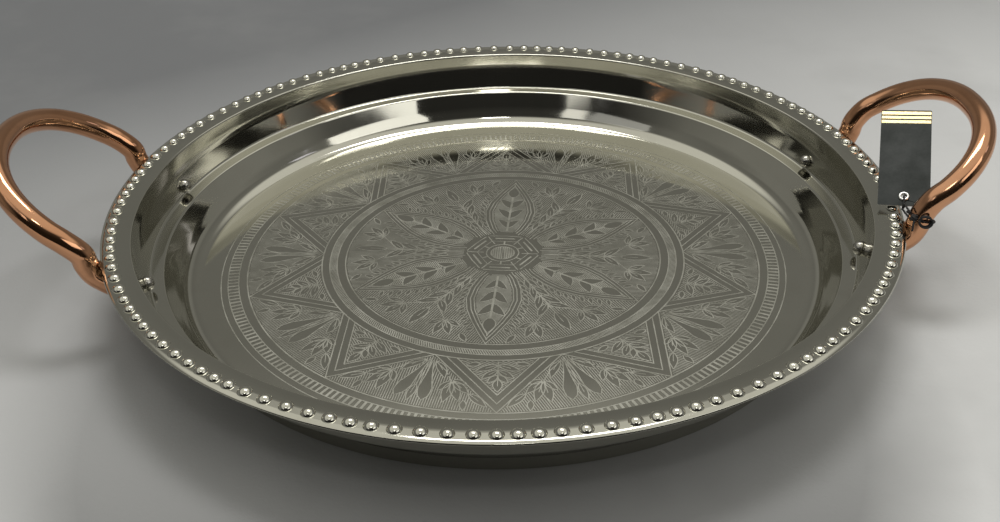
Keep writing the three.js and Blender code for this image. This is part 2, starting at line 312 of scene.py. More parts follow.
# ---------------------------------------------------------------- materials
class Paint:
    """A node material under construction."""

    def __init__(self, name, color, metallic=0.0, roughness=0.5):
        self.mat = bpy.data.materials.new(name)
        self.mat.use_nodes = True
        self.nodes = self.mat.node_tree.nodes
        self.links = self.mat.node_tree.links
        self.shader = self.nodes["Principled BSDF"]
        self.shader.inputs["Base Color"].default_value = (*color, 1)
        self.shader.inputs["Metallic"].default_value = metallic
        self.shader.inputs["Roughness"].default_value = roughness
        self.place = self.nodes.new("ShaderNodeTexCoord").outputs["Object"]

    def node(self, kind, **inputs):
        node = self.nodes.new(kind)
        for key, value in inputs.items():
            socket = node.inputs[key.replace("_", " ")]
            if isinstance(value, bpy.types.NodeSocket):
                self.links.new(value, socket)
            else:
                socket.default_value = value
        return node

    def stretched(self, scale):
        return self.node("ShaderNodeMapping", Vector=self.place, Scale=scale).outputs["Vector"]

    def noise(self, scale, detail=3.0, rough=0.55, vector=None):
        return self.node(
            "ShaderNodeTexNoise", Vector=vector or self.place, Scale=scale, Detail=detail, Roughness=rough,
        ).outputs["Fac"]

    def ramp(self, value, stops):
        node = self.node("ShaderNodeValToRGB", Fac=value)
        elements = node.color_ramp.elements
        while len(elements) < len(stops):
            elements.new(0.5)
        for element, (position, color) in zip(elements, stops):
            element.position = position
            element.color = (*color, 1) if len(color) == 3 else color
        return node.outputs["Color"]

    def span(self, value, low, high, start=0.0, end=1.0):
        node = self.nodes.new("ShaderNodeMapRange")
        self.links.new(value, node.inputs["Value"])
        for key, number in (("From Min", start), ("From Max", end), ("To Min", low), ("To Max", high)):
            node.inputs[key].default_value = number
        return node.outputs["Result"]

    def math(self, operation, a, b=None):
        node = self.nodes.new("ShaderNodeMath")
        node.operation = operation
        for socket, value in zip(node.inputs, (a, b)):
            if isinstance(value, bpy.types.NodeSocket):
                self.links.new(value, socket)
            elif value is not None:
                socket.default_value = value
        return node.outputs["Value"]

    def mix(self, factor, a, b, mode="MIX"):
        node = self.nodes.new("ShaderNodeMix")
        node.data_type = "RGBA"
        node.blend_type = mode
        for key, kind, value in (("Factor", "VALUE", factor), ("A", "RGBA", a), ("B", "RGBA", b)):
            socket = next(s for s in node.inputs if s.name == key and s.type == kind)
            if isinstance(value, bpy.types.NodeSocket):
                self.links.new(value, socket)
            elif isinstance(value, tuple):
                socket.default_value = (*value, 1)
            else:
                socket.default_value = value
        return next(s for s in node.outputs if s.type == "RGBA")

    def bump(self, height, strength, distance, normal=None):
        node = self.node("ShaderNodeBump", Height=height, Strength=strength, Distance=distance)
        if normal:
            self.links.new(normal, node.inputs["Normal"])
        self.links.new(node.outputs["Normal"], self.shader.inputs["Normal"])
        return node.outputs["Normal"]

    def color(self, socket):
        self.links.new(socket, self.shader.inputs["Base Color"])

    def roughness(self, socket):
        self.links.new(socket, self.shader.inputs["Roughness"])


def nickel_paint():
    paint = Paint("polished_nickel", (0.56, 0.53, 0.46), 1.0, 0.08)
    cloud = paint.noise(9, 4)
    smear = paint.noise(55, 5, 0.6)
    tone = paint.ramp(cloud, [(0.3, (0.52, 0.51, 0.445)), (0.7, (0.57, 0.56, 0.495))])
    paint.color(paint.mix(paint.span(smear, 0.0, 0.25, 0.55, 0.8), tone, (0.42, 0.4, 0.345)))
    rub = paint.span(paint.noise(26, 5, 0.6), 0.05, 0.13, 0.35, 0.75)
    paint.roughness(rub)
    ripple = paint.bump(paint.noise(11, 1), 0.25, 0.0012)
    grain = paint.noise(900, 2, 0.5)
    paint.bump(grain, 0.006, 0.0001, ripple)
    return paint.mat


def etched_paint():
    paint = Paint("etched_line", (0.46, 0.455, 0.4), 1.0, 0.4)
    worn = paint.noise(120, 3)
    paint.color(paint.ramp(worn, [(0.3, (0.38, 0.375, 0.325)), (0.7, (0.46, 0.455, 0.405))]))
    paint.roughness(paint.span(worn, 0.34, 0.46, 0.3, 0.7))
    paint.bump(paint.noise(2600, 2), 0.25, 0.00005)
    return paint.mat


def copper_paint():
    paint = Paint("copper_finish", (0.62, 0.31, 0.17), 1.0, 0.12)
    cloud = paint.noise(22, 4, 0.6)
    tarnish = paint.noise(60, 6, 0.65)
    tone = paint.ramp(cloud, [(0.3, (0.56, 0.28, 0.15)), (0.7, (0.67, 0.36, 0.21))])
    paint.color(paint.mix(paint.span(tarnish, 0.0, 0.45, 0.58, 0.78), tone, (0.36, 0.17, 0.09)))
    paint.roughness(paint.span(paint.noise(70, 5), 0.07, 0.16, 0.35, 0.75))
    wave = paint.bump(paint.noise(45, 1), 0.2, 0.0006)
    paint.bump(paint.noise(1300, 3, 0.6), 0.04, 0.0001, wave)
    return paint.mat


def brass_paint():
    paint = Paint("brass_plug", (0.62, 0.45, 0.2), 1.0, 0.3)
    cut = paint.noise(240, 2, 0.5, paint.stretched((1, 1, 14)))
    paint.color(paint.ramp(cut, [(0.3, (0.5, 0.35, 0.15)), (0.7, (0.68, 0.5, 0.24))]))
    paint.roughness(paint.span(cut, 0.22, 0.42, 0.3, 0.7))
    paint.bump(cut, 0.15, 0.0001)
    return paint.mat


def steel_paint():
    paint = Paint("screw_steel", (0.4, 0.385, 0.35), 1.0, 0.18)
    wear = paint.noise(420, 4)
    paint.color(paint.ramp(wear, [(0.3, (0.32, 0.31, 0.28)), (0.7, (0.46, 0.445, 0.41))]))
    paint.roughness(paint.span(wear, 0.12, 0.3, 0.3, 0.7))
    paint.bump(paint.noise(1800, 2), 0.08, 0.0001)
    return paint.mat


def card_paint():
    paint = Paint("printed_card", (0.02, 0.026, 0.024), 0.0, 0.5)
    paint.shader.inputs["Specular IOR Level"].default_value = 0.3
    fleck = paint.noise(700, 3)
    paint.color(paint.ramp(fleck, [(0.3, (0.016, 0.021, 0.019)), (0.7, (0.024, 0.03, 0.027))]))
    paint.roughness(paint.span(paint.noise(90, 3), 0.42, 0.6, 0.3, 0.7))
    paint.bump(paint.noise(3200, 2), 0.1, 0.00004)
    return paint.mat


def board_paint():
    paint = Paint("card_board_edge", (0.62, 0.61, 0.58), 0.0, 0.8)
    fibre = paint.noise(2400, 3)
    paint.color(paint.ramp(fibre, [(0.3, (0.5, 0.49, 0.46)), (0.7, (0.72, 0.71, 0.68))]))
    paint.bump(fibre, 0.2, 0.00005)
    return paint.mat


def foil_paint():
    paint = Paint("gold_foil", (0.83, 0.66, 0.33), 1.0, 0.28)
    grain = paint.noise(1500, 3)
    paint.color(paint.ramp(grain, [(0.3, (0.74, 0.57, 0.27)), (0.7, (0.9, 0.75, 0.42))]))
    paint.roughness(paint.span(grain, 0.22, 0.4, 0.3, 0.7))
    paint.bump(grain, 0.12, 0.00005)
    return paint.mat


def eyelet_paint():
    paint = Paint("eyelet_metal", (0.86, 0.86, 0.84), 1.0, 0.25)
    wear = paint.noise(1400, 3)
    paint.color(paint.ramp(wear, [(0.3, (0.78, 0.78, 0.76)), (0.7, (0.92, 0.92, 0.9))]))
    paint.roughness(paint.span(wear, 0.2, 0.36, 0.3, 0.7))
    return paint.mat


def cord_paint():
    paint = Paint("black_cord", (0.012, 0.012, 0.013), 0.0, 0.7)
    strand = paint.noise(2600, 3)
    paint.color(paint.ramp(strand, [(0.3, (0.006, 0.006, 0.007)), (0.7, (0.026, 0.025, 0.026))]))
    paint.roughness(paint.span(strand, 0.5, 0.8, 0.3, 0.7))
    paint.bump(paint.noise(3000, 2), 0.5, 0.00012)
    return paint.mat


def cloth_paint():
    """Pale creased cloth, with painted shade making it darker towards the rear left.

    The shadow in front of the tray is partly cast by the tray and partly this dark patch in the colour.
    """
    paint = Paint("grey_cloth", (0.42, 0.42, 0.43), 0.0, 0.9)
    cloud = paint.noise(3.2, 3, 0.5)
    tone = paint.ramp(cloud, [(0.25, (0.66, 0.665, 0.67)), (0.75, (0.78, 0.785, 0.79))])
    split = paint.node("ShaderNodeSeparateXYZ", Vector=paint.place)
    # painted shade: the cloth colour darkens towards the rear left
    back_left = paint.math("SUBTRACT", split.outputs["Y"], paint.math("MULTIPLY", split.outputs["X"], 0.6))
    tone = paint.mix(paint.span(back_left, 0.0, 0.9, -0.1, 0.42), tone, (0.13, 0.135, 0.145))
    blotch = paint.noise(7, 4, 0.6)
    tone = paint.mix(paint.span(blotch, 0.0, 0.22, 0.5, 0.72), tone, (0.32, 0.32, 0.32))
    # painted shadow: the cloth colour goes near black within about 0.17 to 0.215 m of a point just in front
    # of the tray's centre, most strongly towards the front
    shadow_patch_distance = paint.node("ShaderNodeVectorMath")
    shadow_patch_distance.operation = "DISTANCE"
    paint.links.new(paint.place, shadow_patch_distance.inputs[0])
    shadow_patch_distance.inputs[1].default_value = (-0.02, -0.12, 0)
    shadow_patch_strength = paint.span(shadow_patch_distance.outputs["Value"], 1, 0, 0.17, 0.215)
    front = paint.span(split.outputs["Y"], 0.8, 0.3, -0.27, -0.1)
    paint.color(paint.mix(paint.math("MULTIPLY", shadow_patch_strength, front), tone, (0.03, 0.03, 0.03)))
    fold = paint.noise(5.5, 2, 0.5, paint.stretched((1.8, 0.8, 1)))
    creased = paint.bump(fold, 0.5, 0.02)
    paint.bump(paint.noise(420, 3, 0.6), 0.25, 0.0006, creased)
    return paint.mat


NICKEL = nickel_paint()
ETCHED = etched_paint()
COPPER = copper_paint()
BRASS = brass_paint()
STEEL = steel_paint()
CARD = card_paint()
BOARD = board_paint()
FOIL = foil_paint()
EYELET = eyelet_paint()
CORD = cord_paint()
CLOTH = cloth_paint()


# ---------------------------------------------------------------- cords
def cord_curve(name, points):
    line = catmull(points, 8)
    curve = bpy.data.curves.new(name, "CURVE")
    curve.dimensions = "3D"
    curve.bevel_depth = CORD_DIAMETER / 2
    curve.bevel_resolution = 4
    curve.use_fill_caps = True
    spline = curve.splines.new("POLY")
    spline.points.add(len(line) - 1)
    for point, place in zip(spline.points, line):
        point.co = (*place, 1)
    curve.materials.append(CORD)
    obj = link(bpy.data.objects.new(name + "_strand", curve))
    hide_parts(name)
    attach(obj, "hang_tag")


def tag_cords():
    wrap_distance = TUBE_RADIUS + 1.5 * GAP + CORD_DIAMETER / 2
    wrap = []
    degrees = WRAP_START
    while degrees <= WRAP_END:
        dip = -WRAP_DIP * math.sin(math.radians(degrees + KNOT_ANGLE))
        wrap.append(leg_point(degrees, wrap_distance, dip + (180 - degrees) / 180 * MM))
        degrees += WRAP_STEP
    cord_curve("tag_cord_wrap", wrap)

    mm_leg = lambda a, d, s: leg_point(a, d * MM, s * MM)
    mm_card = lambda a, s, p: card_point(a * MM, s * MM, p * MM)
    hanger = [mm_leg(19, 8.4, 2.5), mm_leg(40, 8.7, 3), mm_leg(62, 9.4, 3), mm_card(0, -2.6, 2.5)]
    turn_centre = EYELET_DISTANCE - HANGER_BEND
    for degrees in range(90, -91, -30):
        turn = math.radians(degrees)
        along = turn_centre + HANGER_BEND * math.cos(turn)
        hanger.append(card_point(0, along, HANGER_BEND * math.sin(turn)))
    hanger += [mm_card(-0.3, -0.4, -1.8), mm_leg(66, 9.2, 0.2), mm_leg(41, 8.4, 0.3), mm_leg(19, 8.3, 0)]
    cord_curve("tag_cord_hanger", hanger)

    bow = []
    for i in range(25):
        turns = i / 12
        phase = 2 * math.pi * turns
        bow.append(leg_point(
            -41 + 20.5 * math.cos(phase),
            (7.1 + 1.35 * turns) * MM,
            WRAP_DIP + 2.6 * MM * math.sin(phase),
        ))
    cord_curve("tag_cord_bow", bow)


tag_cords()


def tag_knot():
    """The knot: three tight turns of cord over a core, with the cut end hanging from it."""
    shape = Shape()
    centre = leg_point(0, KNOT_DISTANCE, WRAP_DIP * math.sin(math.radians(-KNOT_ANGLE)))
    turns = []
    for k in range(61):
        t = k / 60
        angle = 2 * math.pi * 2.6 * t
        swell = 0.85 + 0.25 * math.sin(math.pi * t)
        turns.append(centre + LEG_DIRECTION * ((t - 0.5) * 2.4 * MM)
                     + LEG_UP * (1.15 * MM * swell * math.cos(angle))
                     + LEG_ACROSS * (1.4 * MM * swell * math.sin(angle)))
    add_tube(shape, turns, 0.55 * MM, 12)
    core = [(0, -1.5 * MM), (0.9 * MM, -1.1 * MM), (1.2 * MM, 0), (0.9 * MM, 1.1 * MM), (0, 1.5 * MM)]
    add_lathe(shape, core, 16, basis(centre, LEG_UP, LEG_ACROSS, LEG_UP.cross(LEG_ACROSS)))
    drop = [(0, -0.8, 0), (-0.8, -2.4, -1.2), (-1.4, -3.8, -2.8), (-1.8, -4.8, -4.6)]
    tail = [centre + Vector(p) * MM for p in drop]
    add_tube(shape, catmull(tail, 6), CORD_DIAMETER / 2, 12)
    knot = shape.build("tag_knot_tied", [CORD])
    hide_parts("tag_knot")
    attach(knot, "hang_tag")


tag_knot()


# ---------------------------------------------------------------- tray
UPPER_CORNERS = [
    (0, 3.6, 0), (163.2, 3.6, 9), (168.2, 11.5, 40), (173.4, 21.2, 1.3), (180.3, 21.2, 1.6),
    (184, 33.5, 35), (185.4, 42.3, 0.9), (191.5, 43.1, 30), (198.6, 42.85, 4), (199.7, 42.2, 0.5),
    (200, 41.7, 0.2),
]
LOWER_CORNERS = [
    (199.8, 41.2, 0.3), (198.9, 41, 0.4), (198.4, 41.8, 0.5), (186.6, 41.8, 1.8), (185.2, 33.4, 36),
    (181.2, 20, 2.6), (174.3, 20, 0.8), (169.5, 11.4, 30), (166.9, 6.6, 1), (166.6, 0, 0.5), (162, 0, 0.5),
    (161.6, 2.4, 0.4), (0, 2.4, 0),
]
BEAD_DOME = [
    (0, 1.8), (0.5, 1.78), (1, 1.7), (1.45, 1.57), (1.9, 1.36), (2.3, 1.09), (2.62, 0.78), (2.88, 0.46),
    (3.06, 0.16), (3.16, -0.1), (3.2, -0.5),
]


def bead_angle(i):
    even = 2 * math.pi * i / BEAD_COUNT
    return even + BEAD_WANDER * (math.sin(7 * even + 1) + math.sin(19 * even + 2))


def tray_body():
    shape = Shape()
    add_lathe(shape, list(reversed(rounded(UPPER_CORNERS + LOWER_CORNERS))), 432)
    for i in range(BEAD_COUNT):
        angle = bead_angle(i)
        size = 1 + 0.03 * math.sin(5.3 * i)
        profile = [(r * MM * size, z * MM) for r, z in reversed(BEAD_DOME)]
        middle = Vector((
            BEAD_CIRCLE_RADIUS * math.cos(angle),
            BEAD_CIRCLE_RADIUS * math.sin(angle),
            RIM_HEIGHT,
        ))
        add_lathe(shape, profile, 24, Matrix.Translation(middle))
    tray = shape.build("tray_sheet", [NICKEL])
    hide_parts("tray_body")
    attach(tray, "tray")


tray_body()


# ---------------------------------------------------------------- etched medallion
STAR_POINTS = 10
STAR_TIP_RADIUS = 134
STAR_VALLEY_RADIUS = 95.9
STAR_START = -94.2
STAR_BORDER = 3.5
PETALS = 6
PETAL_START = -98.7
PETAL_OUTLINE = [(19, 6.5), (25, 9.8), (35, 12.8), (45, 13.9), (55, 12.3), (65, 8.7), (75, 4.2), (83, 0)]
RING_LINES = [
    (83.5, 0.6), (88, 0.6), (91.8, 0.6), (95.9, 0.7), (134.4, 0.7), (138.8, 0.5), (144.3, 0.5), (147.8, 0.5),
]
RING_STEPS = 240
TICKS = 288
TICK_FROM = 139
TICK_TO = 144.1
TICK_WIDTH = 1.25
SLANTS = 460
SLANT_FROM = 88.3
SLANT_TO = 91.5
SLANT_LEAN = 0.02
SLANT_WIDTH = 0.6
BUTTON_RADIUS = 6.2
BUTTON_ROWS = 6
BUTTON_PITCH = 0.95
ETCH_LIFT = 0.02 * MM
ETCH_LAYER = 0.0006 * MM
ETCH_LAYERS = 37


def at(radius, angle):
    return radius * math.cos(angle), radius * math.sin(angle)


def petal_half_width(u, inset=0.0):
    """Half the width of a petal at distance u from the centre; zero past its ends."""
    for (u0, w0), (u1, w1) in zip(PETAL_OUTLINE[:-1], PETAL_OUTLINE[1:]):
        if u0 <= u <= u1:
            t = (u - u0) / (u1 - u0)
            return max(0.0, w0 + (w1 - w0) * t - inset)
    return 0.0


def leaf_outline(x, y, degrees, length, width, kind="leaf", bend=0.0):
    """A closed outline: a pointed leaf, or a club that is narrow at its base and round at its end."""
    a = math.radians(degrees)
    along = (math.cos(a), math.sin(a))
    across = (-along[1], along[0])
    steps = 10
    left, right = [], []
    for k in range(steps + 1):
        t = k / steps
        if kind == "leaf":
            half = width / 2 * math.sin(math.pi * t ** 0.85) ** 0.9 if 0 < t < 1 else 0
        elif t < 0.7:
            half = width / 2 * (0.12 + 0.88 * (t / 0.7) ** 1.6)
        else:
            half = width / 2 * math.sqrt(max(0.0, 1 - ((t - 0.7) / 0.3) ** 2))
        sway = bend * math.sin(math.pi * t)
        cx = x + along[0] * length * t + across[0] * sway
        cy = y + along[1] * length * t + across[1] * sway
        left.append((cx + across[0] * half, cy + across[1] * half))
        right.append((cx - across[0] * half, cy - across[1] * half))
    return left + right[-2:0:-1]


def inside(outline, x, y):
    hit = False
    j = len(outline) - 1
    for i in range(len(outline)):
        xi, yi = outline[i]
        xj, yj = outline[j]
        if (yi > y) != (yj > y) and x < (xj - xi) * (y - yi) / (yj - yi) + xi:
            hit = not hit
        j = i
    return hit


class Cell:
    """One repeat of the pattern, drawn with +x pointing out from the centre of the tray, in millimetres."""

    def __init__(self):
        self.strips = []
        self.shapes = []

    def stroke(self, points, width, closed=False):
        count = len(points)
        left, right = [], []
        for i, (x, y) in enumerate(points):
            before = points[(i - 1) % count] if closed or i else points[i]
            after = points[(i + 1) % count] if closed or i < count - 1 else points[i]
            dx, dy = after[0] - before[0], after[1] - before[1]
            size = math.hypot(dx, dy) or 1
            nx, ny = -dy / size * width / 2, dx / size * width / 2
            left.append((x + nx, y + ny))
            right.append((x - nx, y - ny))
        if closed:
            left.append(left[0])
            right.append(right[0])
        self.strips.append((left, right))

    def leaf(self, x, y, degrees, length, width, kind="leaf", bend=0.0, vein=True, line=0.5):
        outline = leaf_outline(x, y, degrees, length, width, kind, bend)
        self.stroke(outline, line, closed=True)
        xs, ys = [p[0] for p in outline], [p[1] for p in outline]
        self.shapes.append((outline, min(xs), max(xs), min(ys), max(ys)))
        if vein and width > 3.2 and kind == "leaf":
            a = math.radians(degrees)
            reach = [(x + math.cos(a) * length * t - math.sin(a) * bend * math.sin(math.pi * t),
                      y + math.sin(a) * length * t + math.cos(a) * bend * math.sin(math.pi * t))
                     for t in (0.0, 0.2, 0.4, 0.55)]
            self.stroke(reach, 0.4)

    def pair(self, x, y, degrees, length, width, **extra):
        bend = extra.pop("bend", 0.0)
        self.leaf(x, y, degrees, length, width, bend=bend, **extra)
        self.leaf(x, -y, -degrees, length, width, bend=-bend, **extra)

    def mirrored_stroke(self, points, width):
        self.stroke(points, width)
        self.stroke([(x, -y) for x, y in points], width)

    def free(self, x, y):
        return not any(x0 < x < x1 and y0 < y < y1 and inside(outline, x, y)
                       for outline, x0, x1, y0, y1 in self.shapes)

    def hatch(self, region, box, degrees, pitch, width):
        """Fine parallel strokes over the ground of a region, broken where a leaf is."""
        a = math.radians(degrees)
        cos_a, sin_a = math.cos(a), math.sin(a)
        x0, x1, y0, y1 = box
        cx, cy = (x0 + x1) / 2, (y0 + y1) / 2
        reach = math.hypot(x1 - x0, y1 - y0) / 2
        step = 0.4
        rows = int(2 * reach / pitch)
        for row in range(rows + 1):
            side = -reach + row * pitch
            run = []
            for k in range(int(2 * reach / step) + 1):
                s = -reach + k * step
                x = cx + cos_a * s - sin_a * side
                y = cy + sin_a * s + cos_a * side
                if x0 <= x <= x1 and y0 <= y <= y1 and region(x, y) and self.free(x, y):
                    run.append((x, y))
                    continue
                if len(run) > 1:
                    self.stroke([run[0], run[-1]], width)
                run = []
            if len(run) > 1:
                self.stroke([run[0], run[-1]], width)


def star_cell():
    """One point of the star with its triple border and a leaf spray inside."""
    cell = Cell()
    valley = math.radians(180 / STAR_POINTS)
    base = at(STAR_VALLEY_RADIUS, valley)
    slope = base[1] / (STAR_TIP_RADIUS - base[0])
    half_angle = math.atan(slope)
    for step, width in ((0, 0.6), (1, 0.55), (2, 0.55)):
        tip = STAR_TIP_RADIUS - step * STAR_BORDER / math.sin(half_angle)
        foot_y = 0.0
        foot_x = tip
        while math.hypot(foot_x, foot_y) > STAR_VALLEY_RADIUS and foot_x > 0:
            foot_x -= 0.1
            foot_y = (tip - foot_x) * slope
        cell.mirrored_stroke([(tip + 0.2, -0.1), (foot_x, foot_y)], width)
    inner_tip = STAR_TIP_RADIUS - 2 * STAR_BORDER / math.sin(half_angle)
    cell.stroke([(97, 0), (111, 0)], 0.5)
    cell.leaf(110.5, 0, 0, 9, 4.4)
    cell.pair(107.5, 0.2, 40, 7, 3)
    cell.pair(103.6, 0.2, 50, 9.4, 3.6)
    cell.pair(99.6, 0.3, 66, 11, 3.8)
    cell.pair(98.6, 8.2, 83, 6.6, 2.8)
    cell.hatch(
        lambda x, y: math.hypot(x, y) > STAR_VALLEY_RADIUS + 0.9 and abs(y) < (inner_tip - x) * slope - 0.6,
        (94, inner_tip, -18, 18), 62, 1.15, 0.42,
    )
    return cell


def fan_cell():
    """The ground between two star points: club leaves from the valley and a leafy sprig on each side."""
    cell = Cell()
    valley = math.radians(180 / STAR_POINTS)
    tip = at(STAR_TIP_RADIUS, valley)
    slope = tip[1] / (tip[0] - STAR_VALLEY_RADIUS)
    cell.pair(99, 0.7, 11, 31, 6.4, kind="club")
    cell.stroke([(98.5, 0), (119, 0)], 0.45)
    cell.leaf(119, 0, 0, 12.5, 3.4)
    cell.pair(100.5, 2.6, 37, 13.5, 4.2, bend=0.8)
    cell.mirrored_stroke([(101, 2.8), (106, 9.4), (112.5, 14.5)], 0.5)
    cell.pair(112.8, 14.2, -24, 8.5, 3.2)
    cell.pair(113, 14.8, 5, 15, 5)
    cell.pair(112.8, 15.2, 31, 14.5, 4.6)
    cell.pair(112.4, 15.4, 57, 11.5, 4)
    cell.pair(111.6, 15.2, 84, 6.8, 2.8)
    cell.pair(118.8, 25.2, 59, 12.5, 4)
    cell.pair(124, 24.6, 18, 7, 3)
    cell.hatch(
        lambda x, y: (math.hypot(x, y) < STAR_TIP_RADIUS - 0.2
                      and abs(y) < (x - STAR_VALLEY_RADIUS) * slope - 1.2),
        (97, 134, -41, 41), 8, 1.15, 0.42,
    )
    return cell


def petal_cell():
    """A pointed petal with a triple outline and a polished leaf spray on matt ground."""
    cell = Cell()
    for inset, width in ((0, 0.55), (2.1, 0.6), (3.9, 0.55)):
        side = []
        u = PETAL_OUTLINE[0][0] + 0.9 * inset
        while u <= PETAL_OUTLINE[-1][0]:
            half = petal_half_width(u, inset)
            side.append((u, half))
            if half <= 0:
                break
            u += 1.6
        cell.mirrored_stroke(catmull_flat(side), width)
    cell.stroke([(23, 0), (62, 0)], 1.1)
    cell.leaf(61, 0, 0, 13, 6.4, vein=False)
    for u, length, width in ((27, 10, 4.2), (37.5, 12.5, 5), (49, 12, 5)):
        cell.pair(u, 0.5, 33, length, width, vein=False, bend=-1.2)
    cell.hatch(
        lambda x, y: abs(y) < petal_half_width(x, 4.5),
        (22, 80, -11, 11), 90, 0.95, 0.55,
    )
    return cell


def catmull_flat(points):
    return [(p.x, p.y) for p in catmull([Vector((x, y, 0)) for x, y in points], 2)]


def sprig_cell():
    """The ground between two petals: a central stem, side sprigs and a feathered edge along each petal."""
    cell = Cell()
    turn = math.pi / PETALS
    cos_t, sin_t = math.cos(turn), math.sin(turn)

    def outside_petal(x, y):
        y = abs(y)
        u = x * cos_t + y * sin_t
        v = y * cos_t - x * sin_t
        return -v > petal_half_width(u) + 0.6

    cell.stroke([(22, 0), (63, 0)], 0.6)
    cell.pair(29, 0.2, 14, 9.5, 2.6)
    cell.pair(37, 0.2, 20, 11.5, 3.4)
    cell.pair(46, 0.3, 31, 12.5, 4)
    cell.pair(54, 0.3, 47, 12, 4.2)
    cell.leaf(62.5, 0, 0, 17, 5.4)
    cell.mirrored_stroke([(57, 0.5), (61.5, 6), (66.5, 12.6)], 0.5)
    cell.pair(66.8, 12.2, -28, 9.5, 3.4)
    cell.pair(67, 13, 12, 12.5, 4.4)
    cell.pair(66.8, 13.5, 45, 12.5, 4.2)
    cell.pair(66, 13.5, 82, 9.5, 3.4)
    cell.pair(71.5, 26, 57, 8, 3)
    u = 27.0
    while u < 74:
        v = petal_half_width(u) + 0.8
        heading = 38 + 20 * (u - 45) / 45
        x = u * cos_t + v * sin_t
        y = u * sin_t - v * cos_t
        cell.pair(x, y, 30 - heading, 5.6, 2.1, vein=False, line=0.42)
        u += 4.3
    cell.hatch(
        lambda x, y: 20.5 < math.hypot(x, y) < 82.8 and outside_petal(x, y),
        (20, 83, -42, 42), 5, 1.2, 0.42,
    )
    return cell


def centre_cell():
    """The round button, its collar of bars and the short links between them (one sixth)."""
    cell = Cell()
    arc = [math.radians(-30 + 5 * k) for k in range(13)]
    for radius, width in ((6.3, 0.5), (8.6, 0.6)):
        cell.stroke([at(radius, a) for a in arc], width)
    cell.stroke([(14.8, -5.4), (14.8, 5.4)], 1.0)
    cell.stroke([(11.9, -6.9), (11.9, 6.9)], 0.35)
    cell.stroke([(17.2, -8.6), (17.6, 0), (17.2, 8.6)], 0.6)
    cell.stroke([(8.8, 0), (11.8, 0)], 0.8)
    end = math.radians(180 / PETALS)
    cell.stroke([at(10.2, end), at(19, end)], 0.6)
    return cell


def medallion():
    shape = Shape()
    layer = 0

    def lay(strips, degrees):
        nonlocal layer
        a = math.radians(degrees)
        cos_a, sin_a = math.cos(a), math.sin(a)
        for left, right in strips:
            layer = (layer + 1) % ETCH_LAYERS
            z = FLOOR_HEIGHT + ETCH_LIFT + layer * ETCH_LAYER
            verts = []
            for (lx, ly), (rx, ry) in zip(left, right):
                verts.append(Vector(((lx * cos_a - ly * sin_a) * MM, (lx * sin_a + ly * cos_a) * MM, z)))
                verts.append(Vector(((rx * cos_a - ry * sin_a) * MM, (rx * sin_a + ry * cos_a) * MM, z)))
            faces = [(2 * k, 2 * k + 1, 2 * k + 3, 2 * k + 2) for k in range(len(left) - 1)]
            shape.add(verts, faces)

    star, fan, petal, sprig, centre = star_cell(), fan_cell(), petal_cell(), sprig_cell(), centre_cell()
    star_turn = 360 / STAR_POINTS
    for k in range(STAR_POINTS):
        lay(star.strips, STAR_START + star_turn * k)
        lay(fan.strips, STAR_START + star_turn * k + star_turn / 2)
    petal_turn = 360 / PETALS
    for k in range(PETALS):
        lay(petal.strips, PETAL_START + petal_turn * k)
        lay(sprig.strips, PETAL_START + petal_turn * k + petal_turn / 2)
        lay(centre.strips, PETAL_START + petal_turn * k)

    rings = Cell()
    for radius, width in RING_LINES:
        rings.stroke([at(radius, 2 * math.pi * k / RING_STEPS) for k in range(RING_STEPS + 1)], width)
    for k in range(TICKS):
        a = 2 * math.pi * k / TICKS
        rings.stroke([at(TICK_FROM, a), at(TICK_TO, a)], TICK_WIDTH)
    for k in range(SLANTS):
        a = 2 * math.pi * k / SLANTS
        rings.stroke([at(SLANT_FROM, a), at(SLANT_TO, a + SLANT_LEAN)], SLANT_WIDTH)
    for k in range(-BUTTON_ROWS, BUTTON_ROWS + 1):
        x = BUTTON_PITCH * k
        half = math.sqrt(max(0.0, BUTTON_RADIUS ** 2 - x * x))
        rings.stroke([(x, -half), (x, half)], 0.62 if k else 0.25)
    lay(rings.strips, 0)
    etching = shape.build("tray_etching", [ETCHED], smooth=False)
    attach(etching, "tray")


medallion()


# ---------------------------------------------------------------- handles and their fixings
def leg_across_tray(handle, end):
    return end * handle["half_width"] + handle["shift"]


def rim_edge_at(handle, end):
    return math.sqrt(RIM_RADIUS ** 2 - leg_across_tray(handle, end) ** 2)


def leg_radial(handle, end, side):
    return Vector((side * rim_edge_at(handle, end), leg_across_tray(handle, end), 0)).normalized()


def half_handle(handle, end):
    out = leg_radial(handle, end, 1)
    start = out * LEG_START_RADIUS
    start.z = LEG_HEIGHT
    points = [start, start + out * LEG_STRAIGHT]
    for past, inset, height in LEG_BEND:
        across = leg_across_tray(handle, end) - end * inset
        points.append(Vector((rim_edge_at(handle, end) + past, across, height)))
    slope = math.radians(handle["tilt"])
    for degrees in LOOP_ANGLES:
        theta = math.radians(degrees)
        outward = handle["leg"] + handle["reach"] * math.cos(theta) ** LOOP_SQUARENESS
        sideways = end * handle["half_width"] * math.sin(theta) ** LOOP_SQUARENESS
        points.append(Vector((
            handle["foot"][0] + outward * math.cos(slope),
            sideways + handle["shift"],
            handle["foot"][1] + outward * math.sin(slope),
        )))
    return points


def handle_tube(name, handle):
    points = half_handle(handle, 1) + list(reversed(half_handle(handle, -1)[:-1]))
    line = catmull([Vector((handle["side"] * p.x, p.y, p.z)) * MM for p in points], 10)
    shape = Shape()
    add_tube(shape, line, TUBE_RADIUS, 40, TUBE_RADIUS - TUBE_WALL)
    tube = shape.build(name + "_tube", [COPPER])
    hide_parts(name)
    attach(tube, "tray")


def fixing_basis(handle, end, radius):
    out = leg_radial(handle, end, handle["side"])
    up = Vector((0, 0, 1))
    origin = out * radius
    origin.z = LEG_HEIGHT * MM
    return basis(origin, up.cross(out), up, out)


UPPER_WALL = [p for p in rounded(UPPER_CORNERS) if 177 * MM < p[0] < 186 * MM]


